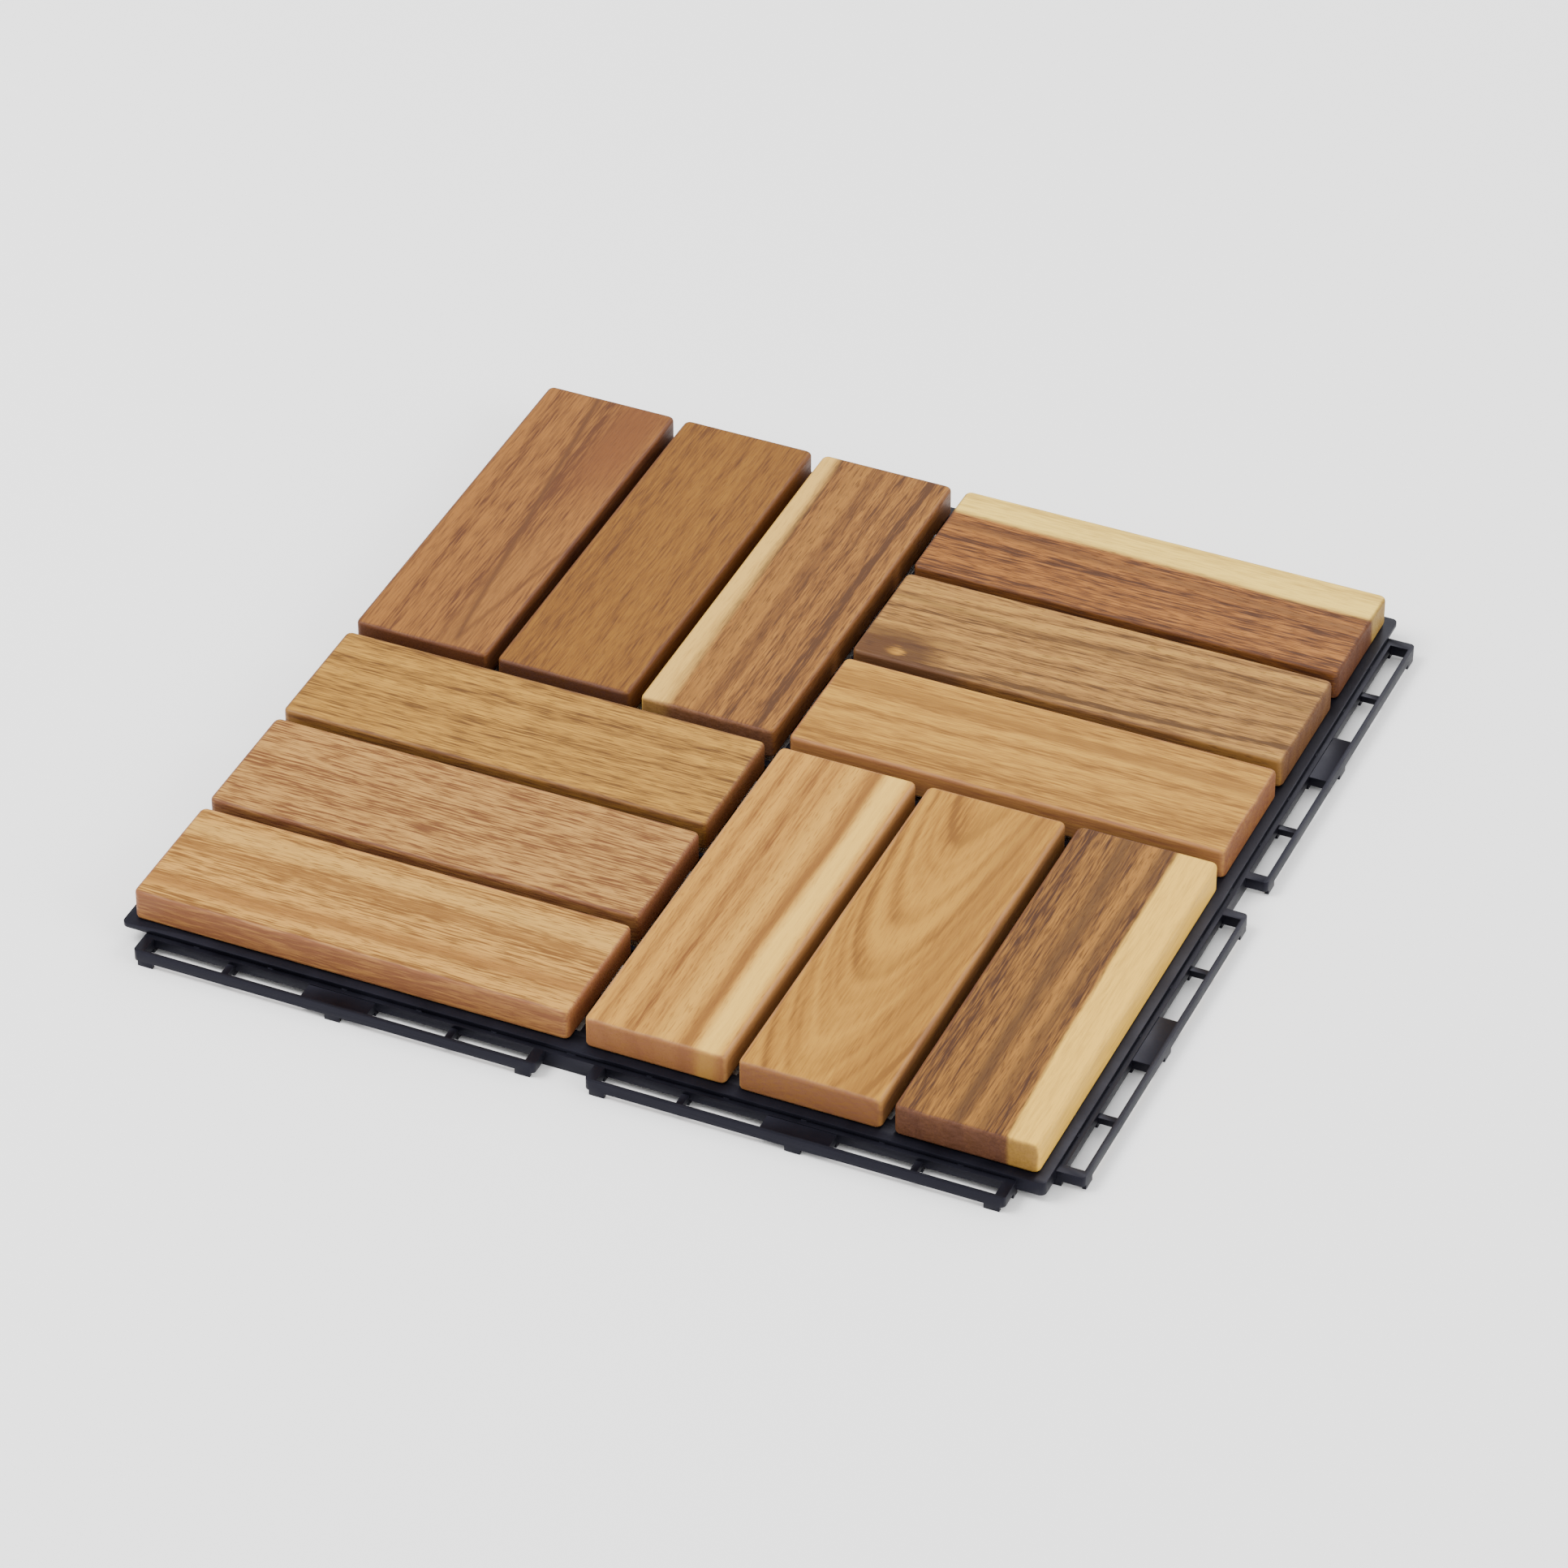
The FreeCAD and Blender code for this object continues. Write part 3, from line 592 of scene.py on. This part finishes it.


# each board's light, middle and dark colour follow its name
# each board's edge colour is partly painted shade on its long sides and rims; on front_right_1, front_right_2
# and back_right_1 it was made paler, a painted rim highlight
BOARDS: dict[str, Acacia] = {
    "slat_front_left_1": Acacia(
        "olive tan, straight grain", "#a4782b", "#8b6222", "#56360c", edge="#5b3a29", end="#6b3f29",
        ring_mm=6.0, contrast=0.25, pith_mm=(95.0, -12.0), wander_mm=1.4, fibre=0.75, fleck=0.55,
        lean=(0.03, 0.0),
    ),
    "slat_front_left_2": Acacia(
        "pinkish tan, short fine grain", "#a2773a", "#8d642e", "#623a17", edge="#633d2d", end="#6a3e2b",
        ring_mm=9.0, contrast=0.3, pith_mm=(60.0, -40.0), wander_mm=3.0, fibre=1.3, fleck=0.7,
    ),
    "slat_front_left_3": Acacia(
        "light tan, broad wavy stripes", "#b08038", "#956b2c", "#6d4515", edge="#7b4d39", end="#74442f",
        ring_mm=9.0, contrast=0.8, pith_mm=(48.0, -18.0), wander_mm=5.0, fibre=1.3, fleck=0.65,
        lean=(-0.02, 0.0),
        stripes=(
            Stripe("#7b4d1a", -12.0, 2.6, 2.5, slope=0.03, strength=0.7),
            Stripe("#885c24", 4.0, 2.0, 2.0, slope=0.01, strength=0.5),
            Stripe("#b58a3f", 13.0, 3.5, 3.0, strength=0.7),
        ),
    ),
    "slat_front_right_1": Acacia(
        "tan, brown streaks, cream band", "#b27f2e", "#9d6d26", "#6b3f12", edge="#956d4c", end="#704029",
        ring_mm=8.0, contrast=0.6, pith_mm=(70.0, -16.0), wander_mm=2.6, fibre=0.35, fleck=0.4,
        stripes=(
            Stripe("#bc8c36", -3.0, 2.8, 2.6, strength=0.7),
            Stripe("#653a0c", -10.5, 1.5, 1.5, slope=-0.01, strength=0.75),
            Stripe("#d9ad4c", -17.0, 3.4, 2.2, sapwood=True),
        ),
    ),
    "slat_front_right_2": Acacia(
        "golden tan, arched grain", "#a57624", "#93641c", "#6d440d", edge="#8c6446", end="#603629",
        ring_mm=3.0, contrast=0.8, pith_mm=(4.0, -18.0), wander_mm=1.8, fibre=0.4, fleck=0.25,
        lean=(0.0, 0.12),
        stripes=(
            Stripe("#7a5014", -14.0, 5.0, 5.0, strength=0.5),
            Stripe("#a97925", 0.0, 5.0, 5.0, slope=-0.05, strength=0.5),
        ),
    ),
    "slat_front_right_3": Acacia(
        "dark stripes, cream edge", "#895b1d", "#6c4514", "#3b1e05", edge="#4c2a20", end="#553526",
        ring_mm=9.0, contrast=0.6, pith_mm=(64.0, -14.0), wander_mm=2.4, fibre=0.7, fleck=0.5,
        stripes=(
            Stripe("#3c2205", 5.0, 2.4, 2.4, slope=0.02, strength=0.75),
            Stripe("#492c09", -5.0, 1.8, 1.8, slope=-0.01, strength=0.6),
            Stripe("#d8aa42", -22.0, 11.0, 1.0, slope=0.022, sapwood=True),
        ),
    ),
    "slat_back_right_1": Acacia(
        "light golden tan, soft grain", "#ac7e2b", "#966923", "#724a14", edge="#835643", end="#491b0b",
        ring_mm=9.0, contrast=0.6, pith_mm=(-60.0, -18.0), wander_mm=3.4, fibre=0.75, fleck=0.3,
        lean=(0.03, 0.0),
        stripes=(
            Stripe("#7b5218", 11.0, 2.4, 2.2, slope=-0.03, strength=0.7),
        ),
    ),
    "slat_back_right_2": Acacia(
        "golden brown with a pin knot", "#9d7330", "#865d28", "#4c300e", edge="#5b3d29", end="#452512",
        ring_mm=6.0, contrast=0.8, pith_mm=(52.0, -20.0), wander_mm=3.6, fibre=0.7, fleck=0.6,
        lean=(0.06, 0.0),
        stripes=(
            Stripe("#472b0a", -6.0, 3.0, 3.0, slope=0.06, strength=0.6, fade_mm=(-30.0, -60.0)),
            Stripe("#4a2e0b", 8.0, 1.6, 1.6, slope=-0.04, strength=0.5),
        ),
        knots=(
            Knot(-60.0, -18.0, 3.4, "#c68c2e", "#3a1d05"),
            Knot(-69.0, -17.5, 2.2, "#3a1d05", "#4a2a0b"),
        ),
    ),
    "slat_back_right_3": Acacia(
        "brown stripes, cream band", "#8c581f", "#704214", "#412106", edge="#482b1f", end="#46230e",
        ring_mm=8.0, contrast=0.8, pith_mm=(60.0, -15.0), wander_mm=2.0, fibre=1.0, fleck=0.6,
        stripes=(
            Stripe("#4e2c0c", 3.0, 1.8, 1.6, slope=-0.02, strength=0.6),
            Stripe("#dfbb54", 21.0, 11.3, 1.6, slope=-0.012, sapwood=True),
        ),
    ),
    "slat_back_left_1": Acacia(
        "brown with a cream edge", "#895b21", "#714719", "#46280d", edge="#4f2c22", end="#6b4834",
        ring_mm=7.0, contrast=0.7, pith_mm=(70.0, -14.0), wander_mm=1.6, fibre=0.75, fleck=0.6,
        stripes=(
            Stripe("#895c21", 8.0, 3.0, 2.6, strength=0.6),
            Stripe("#52300f", 2.0, 2.0, 2.0, strength=0.5),
            Stripe("#c59c4a", 21.5, 6.2, 2.4, slope=0.03, sapwood=True),
        ),
    ),
    "slat_back_left_2": Acacia(
        "mid brown, fine grain", "#7b5113", "#6d440e", "#4d2b0a", edge="#4b291f", end="#482d26",
        ring_mm=8.0, contrast=0.25, pith_mm=(46.0, -26.0), wander_mm=3.0, fibre=0.6, fleck=0.4,
        lean=(0.02, 0.0),
    ),
    "slat_back_left_3": Acacia(
        "tan and reddish brown with a dark arch", "#82531f", "#6f451a", "#4c290f", edge="#4c2a20", end="#4c2a1a",
        ring_mm=9.0, contrast=0.55, pith_mm=(-40.0, -30.0), wander_mm=1.2, fibre=0.8, fleck=0.3,
        lean=(0.03, 0.0),
        stripes=(
            Stripe("#603413", -13.0, 8.0, 5.0, strength=0.75, fade_mm=(0.0, 45.0)),
            Stripe("#855723", -12.0, 5.0, 4.0, slope=-0.03, strength=0.6, fade_mm=(10.0, -30.0)),
            Stripe("#3c1e0a", -3.3, 0.9, 0.9, slope=0.108, strength=0.75, fade_mm=(-74.0, -64.0)),
            Stripe("#45240a", -24.5, 0.8, 0.8, slope=-0.205, strength=0.6, fade_mm=(-74.0, -64.0)),
        ),
    ),
}


@dataclass
class Slats:
    """The twelve boards: planed, with softly rounded corners and eased edges.

    Attributes:
        corner_radius: Radius of the upright corners.
        edge_radius: Radius of the eased edges.
        corner_segments: Steps in a corner's curve.
        edge_segments: Steps in an edge's curve.
        level: How close two heights are that count as one.
    """

    corner_radius: float = 2.2 * MM
    edge_radius: float = 1.2 * MM
    corner_segments: int = 5
    edge_segments: int = 3
    level: float = 0.001 * MM

    def board(self, low: Vector, high: Vector) -> bmesh.types.BMesh:
        """Shape one board from a block by rounding its corners, then its edges.

        Args:
            low: The board's lowest corner.
            high: Its highest corner.

        Returns:
            The board's mesh in its place.
        """
        maker = bmesh.new()
        size = high - low
        place = Matrix.Translation((low + high) / 2) @ Matrix.Diagonal((*size, 1.0))
        bmesh.ops.create_cube(maker, size=1.0, matrix=place)
        uprights = [edge for edge in maker.edges if abs(edge.verts[0].co.z - edge.verts[1].co.z) > size.z / 2]
        bmesh.ops.bevel(maker, geom=uprights, offset=self.corner_radius, offset_type="OFFSET", affect="EDGES",
                        segments=self.corner_segments, profile=0.5, material=-1, clamp_overlap=True)
        rims = [edge for edge in maker.edges if abs(edge.verts[0].co.z - edge.verts[1].co.z) < self.level]
        bmesh.ops.bevel(maker, geom=rims, offset=self.edge_radius, offset_type="OFFSET", affect="EDGES",
                        segments=self.edge_segments, profile=0.5, material=-1, clamp_overlap=True)
        for face in maker.faces:
            face.smooth = True
        return maker

    def build(self) -> None:
        """Make each board in the place of its solid, with a finish of its own."""
        for node, finish in BOARDS.items():
            low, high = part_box(node)
            size = high - low
            run = Run.ALONG_X if size.x > size.y else Run.ALONG_Y
            length, width = max(size.x, size.y), min(size.x, size.y)
            dressing = AcaciaMaterial(finish, (low + high) / 2, run, Vector((length, width, size.z)))
            piece = new_piece(node.replace("slat_", "board_"), self.board(low, high), dressing.build())
            piece.modifiers.new("even shading", "WEIGHTED_NORMAL")
            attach(piece, "root")
            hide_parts(node)
            LOG.info("board %s: %s", node, finish.name)


@dataclass
class Base:
    """The moulded base: the solid's own mesh with the small edge radius that a mould leaves.

    Attributes:
        edge_radius: Radius along the moulding's edges.
        edge_segments: Steps in that radius.
        sharp_from: Angle from which an edge is rounded.
        merge_within: How close two corners are that are made one.
        flat_within: Angle up to which neighbouring faces are made one.
        finish: What it is made of.
    """

    edge_radius: float = 0.2 * MM
    edge_segments: int = 2
    sharp_from: float = math.radians(40)
    merge_within: float = 0.001 * MM
    flat_within: float = math.radians(0.5)
    finish: MouldedPolypropylene = MouldedPolypropylene()

    def build(self) -> None:
        """Copy the solid's mesh, merge it, and round its edges."""
        maker = bmesh.new()
        maker.from_mesh(bpy.data.objects["moulded_base"].data)
        bmesh.ops.remove_doubles(maker, verts=maker.verts, dist=self.merge_within)
        bmesh.ops.dissolve_limit(maker, angle_limit=self.flat_within, verts=maker.verts, edges=maker.edges)
        for face in maker.faces:
            face.smooth = True
        piece = new_piece("lattice_base", maker, self.finish.build())
        rounding = piece.modifiers.new("mould radius", "BEVEL")
        rounding.width = self.edge_radius
        rounding.segments = self.edge_segments
        rounding.limit_method = "ANGLE"
        rounding.angle_limit = self.sharp_from
        rounding.harden_normals = True
        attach(piece, "root")
        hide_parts("moulded_base")
        LOG.info("base: %d faces before rounding", len(piece.data.polygons))


@dataclass
class Screws:
    """The screws, of which only the heads show in the bosses from below, with their cross recess.

    Attributes:
        head_radius: Radius of the countersunk head.
        shank_radius: Radius of the shank.
        head_height: Height of the head's cone.
        length: Length from the head's face to the tip.
        tip: Length of the pointed end.
        tip_scale: Width of the blunt tip as a share of the shank.
        lift: Height of the head's face above the ground.
        segments: Corners of the round outline.
        arm_half: Half the width of a recess arm.
        arm_reach: How far an arm reaches from the middle.
        recess_depth: Depth of the recess.
        recess_taper: Size of the recess's floor as a share of its mouth.
        lines: Where the rows of screws are, from the tile's middle.
        finish: What they are made of.
    """

    head_radius: float = 3.5 * MM
    shank_radius: float = 1.75 * MM
    head_height: float = 1.75 * MM
    length: float = 13.0 * MM
    tip: float = 2.4 * MM
    tip_scale: float = 0.1
    lift: float = 1.0 * MM
    segments: int = 24
    arm_half: float = 0.5 * MM
    arm_reach: float = 2.1 * MM
    recess_depth: float = 1.3 * MM
    recess_taper: float = 0.7
    lines: Triple = (25.45 * MM, 75.25 * MM, 125.05 * MM)
    finish: ZincPlatedSteel = ZincPlatedSteel()

    def ring(self, maker: bmesh.types.BMesh, outline: list[tuple[float, float]]) -> list[bmesh.types.BMEdge]:
        """Draw a closed outline on the face of the head.

        Args:
            maker: The mesh.
            outline: Its corners.

        Returns:
            The outline's edges.
        """
        corners = [maker.verts.new((x, y, 0.0)) for x, y in outline]
        return [maker.edges.new((corner, corners[index - 1])) for index, corner in enumerate(corners)]

    def draw_out(self, maker: bmesh.types.BMesh, edges: list[bmesh.types.BMEdge], rise: float,
                 scale: float) -> list[bmesh.types.BMEdge]:
        """Extrude a ring of edges upwards while it grows or shrinks.

        Args:
            maker: The mesh.
            edges: The ring.
            rise: How far up it goes.
            scale: How much wider it gets.

        Returns:
            The new ring's edges.
        """
        grown = bmesh.ops.extrude_edge_only(maker, edges=edges)["geom"]
        for corner in (item for item in grown if isinstance(item, bmesh.types.BMVert)):
            corner.co = Vector((corner.co.x * scale, corner.co.y * scale, corner.co.z + rise))
        return [item for item in grown if isinstance(item, bmesh.types.BMEdge)]

    def screw(self) -> bmesh.types.BMesh:
        """Shape one screw, head down, with the face of its head at height zero.

        Returns:
            The screw's mesh.
        """
        maker = bmesh.new()
        turns = [2 * math.pi * step / self.segments for step in range(self.segments)]
        rim = self.ring(maker, [(self.head_radius * math.cos(turn), self.head_radius * math.sin(turn))
                                for turn in turns])
        near, far = self.arm_half, self.arm_reach
        cross = self.ring(maker, [
            (far, near), (near, near), (near, far), (-near, far), (-near, near), (-far, near),
            (-far, -near), (-near, -near), (-near, -far), (near, -far), (near, -near), (far, -near)])
        bmesh.ops.triangle_fill(maker, edges=rim + cross, use_beauty=True)
        bottom = self.draw_out(maker, cross, self.recess_depth, self.recess_taper)
        bmesh.ops.triangle_fill(maker, edges=bottom, use_beauty=True)
        neck = self.draw_out(maker, rim, self.head_height, self.shank_radius / self.head_radius)
        shoulder = self.draw_out(maker, neck, self.length - self.tip - self.head_height, 1.0)
        point = self.draw_out(maker, shoulder, self.tip, self.tip_scale)
        bmesh.ops.triangle_fill(maker, edges=point, use_beauty=True)
        bmesh.ops.recalc_face_normals(maker, faces=maker.faces)
        return maker

    def build(self) -> None:
        """Put a screw in each boss: six to a group, and each group is turned a quarter from the last."""
        single = bpy.data.meshes.new("one screw")
        pattern = self.screw()
        pattern.to_mesh(single)
        pattern.free()
        maker = bmesh.new()
        for quarter in range(4):
            turn = Matrix.Rotation(quarter * math.pi / 2, 4, "Z")
            for across in (self.lines[0], self.lines[-1]):
                for along in self.lines:
                    start = len(maker.verts)
                    maker.from_mesh(single)
                    maker.verts.ensure_lookup_table()
                    place = turn @ Matrix.Translation((across, along, self.lift))
                    bmesh.ops.transform(maker, matrix=place, verts=maker.verts[start:])
        bpy.data.meshes.remove(single)
        piece = new_piece("recessed_screws", maker, self.finish.build())
        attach(piece, "root")
        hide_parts("slat_screws")
        LOG.info("screws: %d faces", len(piece.data.polygons))


@dataclass(frozen=True)
class Lamp:
    """A square soft light that faces the tile.

    Attributes:
        name: Which light it is.
        place: Where it hangs.
        side: Length of its sides.
        watts: Its strength.
    """

    name: str
    place: Triple
    side: float
    watts: float


@dataclass
class Studio:
    """A pale floor, soft lights and the camera at the photograph's viewing angle.

    Attributes:
        camera_place: Where the camera stands.
        aim: The point that the camera and the lights look at.
        lens_mm: Focal length of the lens.
        sensor_mm: Width of the camera's sensor.
        view_end: How far the camera sees.
        floor_size: Length of the floor's sides.
        floor_colour: Colour of the floor.
        floor_roughness: Roughness of the floor.
        lamps: The soft lights.
        surrounding: Strength of the white light from all round.
    """

    camera_place: Vector = field(default_factory=lambda: Vector((0.6974, -1.5795, 1.3303)))
    aim: Vector = field(default_factory=lambda: Vector((0.004, -0.004, 0.004)))
    lens_mm: float = 160.0
    sensor_mm: float = 36.0
    view_end: float = 50.0
    floor_size: float = 30.0
    floor_colour: str = "#f7f7f7"
    floor_roughness: float = 0.9
    lamps: tuple[Lamp, ...] = (
        Lamp("key light from the left", (-1.1, -0.5, 1.7), 1.0, 52.0),
        Lamp("broad light from the right", (1.9, -0.3, 0.9), 1.2, 30.0),
        Lamp("light from behind", (0.2, 1.8, 1.4), 1.2, 20.0),
    )
    surrounding: float = 1.4

    def floor(self) -> None:
        """Lay a large pale floor under the tile."""
        material, tree = new_material("white paper backdrop, matt")
        shader = add_node(tree, Kind.SURFACE, {
            "Base Color": linear(self.floor_colour), "Roughness": self.floor_roughness})
        add_node(tree, Kind.OUTPUT, {"Surface": shader})
        maker = bmesh.new()
        bmesh.ops.create_grid(maker, x_segments=1, y_segments=1, size=self.floor_size / 2)
        floor = new_piece("floor", maker, material)

    def hang(self, lamp: Lamp) -> None:
        """Hang one lamp.

        Args:
            lamp: Where it hangs, how large and how strong it is.
        """
        source = bpy.data.lights.new(lamp.name, "AREA")
        source.size = lamp.side
        source.energy = lamp.watts
        holder = bpy.data.objects.new(lamp.name, source)
        holder.location = lamp.place
        holder.rotation_euler = (self.aim - Vector(lamp.place)).to_track_quat("-Z", "Y").to_euler()
        bpy.context.scene.collection.objects.link(holder)

    def build(self) -> None:
        """Set up the floor, the lights, the surrounding light and the camera."""
        self.floor()
        for lamp in self.lamps:
            self.hang(lamp)
        world = bpy.data.worlds.new("studio")
        world.use_nodes = True
        backdrop = world.node_tree.nodes["Background"]
        backdrop.inputs["Color"].default_value = linear("#ffffff")
        backdrop.inputs["Strength"].default_value = self.surrounding
        bpy.context.scene.world = world
        camera = bpy.data.objects.new("camera", bpy.data.cameras.new("camera"))
        camera.data.sensor_width = self.sensor_mm
        camera.data.lens = self.lens_mm
        camera.data.clip_end = self.view_end
        camera.location = self.camera_place
        camera.rotation_euler = (self.aim - self.camera_place).to_track_quat("-Z", "Y").to_euler()
        bpy.context.scene.collection.objects.link(camera)
        bpy.context.scene.camera = camera
        LOG.info("studio ready")


def main() -> None:
    """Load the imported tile, dress it and set up the studio."""
    logging.basicConfig(level=logging.INFO, format="%(message)s")
    for item in list(bpy.data.objects):
        bpy.data.objects.remove(item)
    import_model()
    Studio().build()
    Slats().build()
    Base().build()
    Screws().build()
    bpy.context.view_layer.update()


if __name__ == "__main__":
    main()
